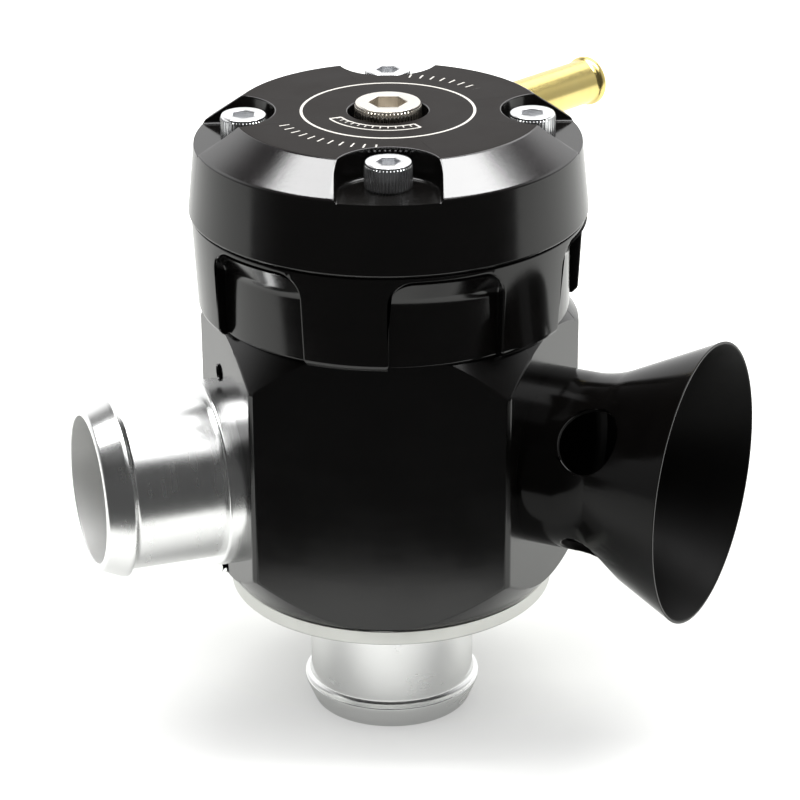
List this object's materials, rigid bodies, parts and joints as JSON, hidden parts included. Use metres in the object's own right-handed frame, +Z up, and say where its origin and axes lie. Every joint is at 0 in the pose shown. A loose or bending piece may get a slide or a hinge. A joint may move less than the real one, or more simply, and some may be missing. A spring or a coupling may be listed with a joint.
{
  "type": "blow off valve",
  "caption": "Turbo blow off valve: black machined body with an inlet hose tail, a recirculating hose tail, a trumpet outlet, a turning head with a vacuum nipple, and a sprung piston inside.",
  "frame": {"origin": "centre of the inlet tail's end, on the valve's axis", "axes": "+Z up along the valve's axis, -Y out of the body's front flat, so the trumpet is at +X and the recirculating tail at -X"},
  "size_m": [0.1053, 0.0751, 0.0984],
  "materials": {
    "black_anodise": "satin black anodised, turned and milled",
    "bright_aluminium": "bright turned",
    "zinc_steel": "bright zinc plated",
    "nickel_steel": "warm nickel plated",
    "spring_steel": "drawn wire",
    "gold_brass": "bright turned brass",
    "black_rubber": "moulded seal rubber"
  },
  "bodies": {
    "valve_body": {"main_body": "black_anodise", "inlet_flange": "bright_aluminium", "flange_o_ring": "black_rubber", "flange_screws": "zinc_steel", "recirc_tail": "bright_aluminium", "recirc_o_ring": "black_rubber", "trumpet": "black_anodise", "trumpet_o_ring": "black_rubber", "neck_o_ring": "black_rubber", "neck_circlip": "zinc_steel", "stop_pin": "zinc_steel"},
    "head": {"grip_ring": "black_anodise", "bias_sleeve": "bright_aluminium", "top_cap": "black_anodise", "cap_o_ring": "black_rubber", "cap_screws": "zinc_steel", "vacuum_nipple": "gold_brass", "preload_o_ring": "black_rubber"},
    "preload_seat": {"spring_seat": "zinc_steel", "piston_spring": "spring_steel"},
    "preload": {"preload_screw": "nickel_steel"},
    "plunger": {"piston": "bright_aluminium", "piston_o_rings": "black_rubber", "piston_seal": "black_rubber"}
  },
  "joints": [
    {"name": "head_turn", "type": "hinge", "parent": "valve_body", "child": "head", "pos_m": [0, 0, 0.0725], "axis": [0, 0, 1], "range_deg": [-45, 45]},
    {"name": "preload_slide", "type": "slide", "parent": "head", "child": "preload_seat", "axis": [0, 0, 1], "range_m": [-0.002, 0.002], "deforming": ["piston_spring"]},
    {"name": "preload_turn", "type": "hinge", "parent": "preload_seat", "child": "preload", "pos_m": [0, 0, 0.09], "axis": [0, 0, 1], "range_deg": [-720, 720]},
    {"name": "piston_lift", "type": "slide", "parent": "valve_body", "child": "plunger", "axis": [0, 0, 1], "range_m": [0, 0.016], "stiffness_N_per_m": 1200, "springref_m": -0.012, "deforming": ["piston_spring"]}
  ],
  "couplings": [
    {"joint": "preload_turn", "follows": "preload_slide", "rad_per_m": 6283.2}
  ]
}
